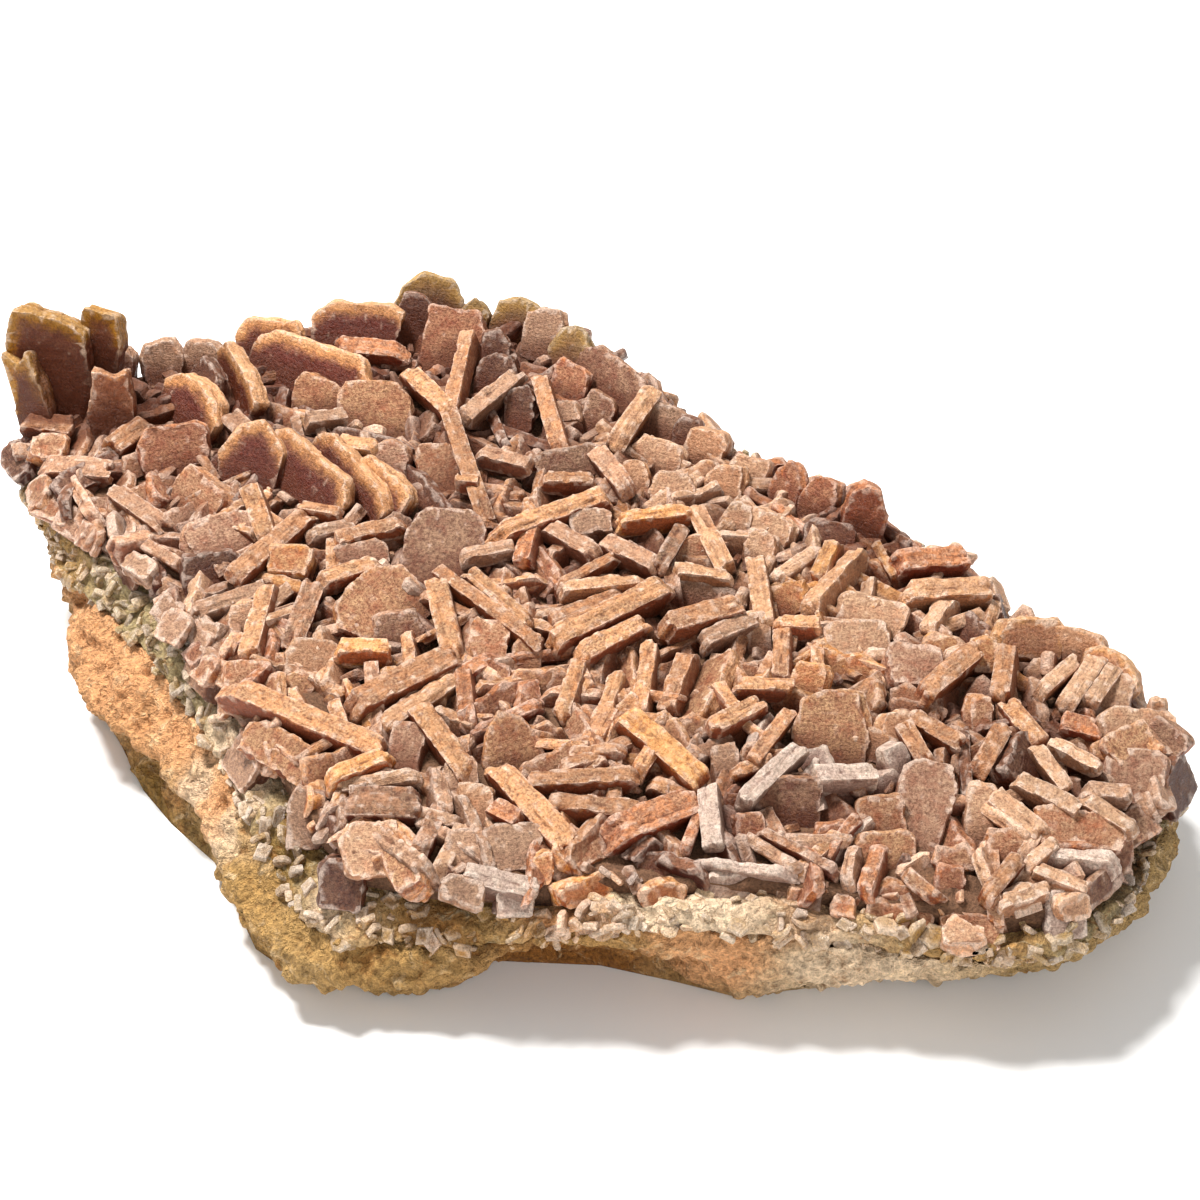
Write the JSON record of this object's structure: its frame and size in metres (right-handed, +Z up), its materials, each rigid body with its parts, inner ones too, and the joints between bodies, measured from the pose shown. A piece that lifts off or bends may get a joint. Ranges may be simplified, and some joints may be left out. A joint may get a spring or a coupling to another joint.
{
  "type": "red barite specimen",
  "caption": "Plate of intergrown red tabular barite crystals on a pale crust and a sandy rock matrix, resting on a flat sole.",
  "frame": {"origin": "middle of the bounding box at the level of the flat sole", "axes": "+X to the right along the longest side as pictured, +Y to the back, +Z up out of the crystal face"},
  "size_m": [0.3933, 0.32, 0.1108],
  "materials": {
    "matrix_rock": "matte",
    "pale_barite": "satin",
    "red_barite": "satin"
  },
  "bodies": {
    "root": {"matrix_rock": "matrix_rock", "pale_barite_crust": "pale_barite", "red_barite_crystals": "red_barite"}
  },
  "joints": []
}
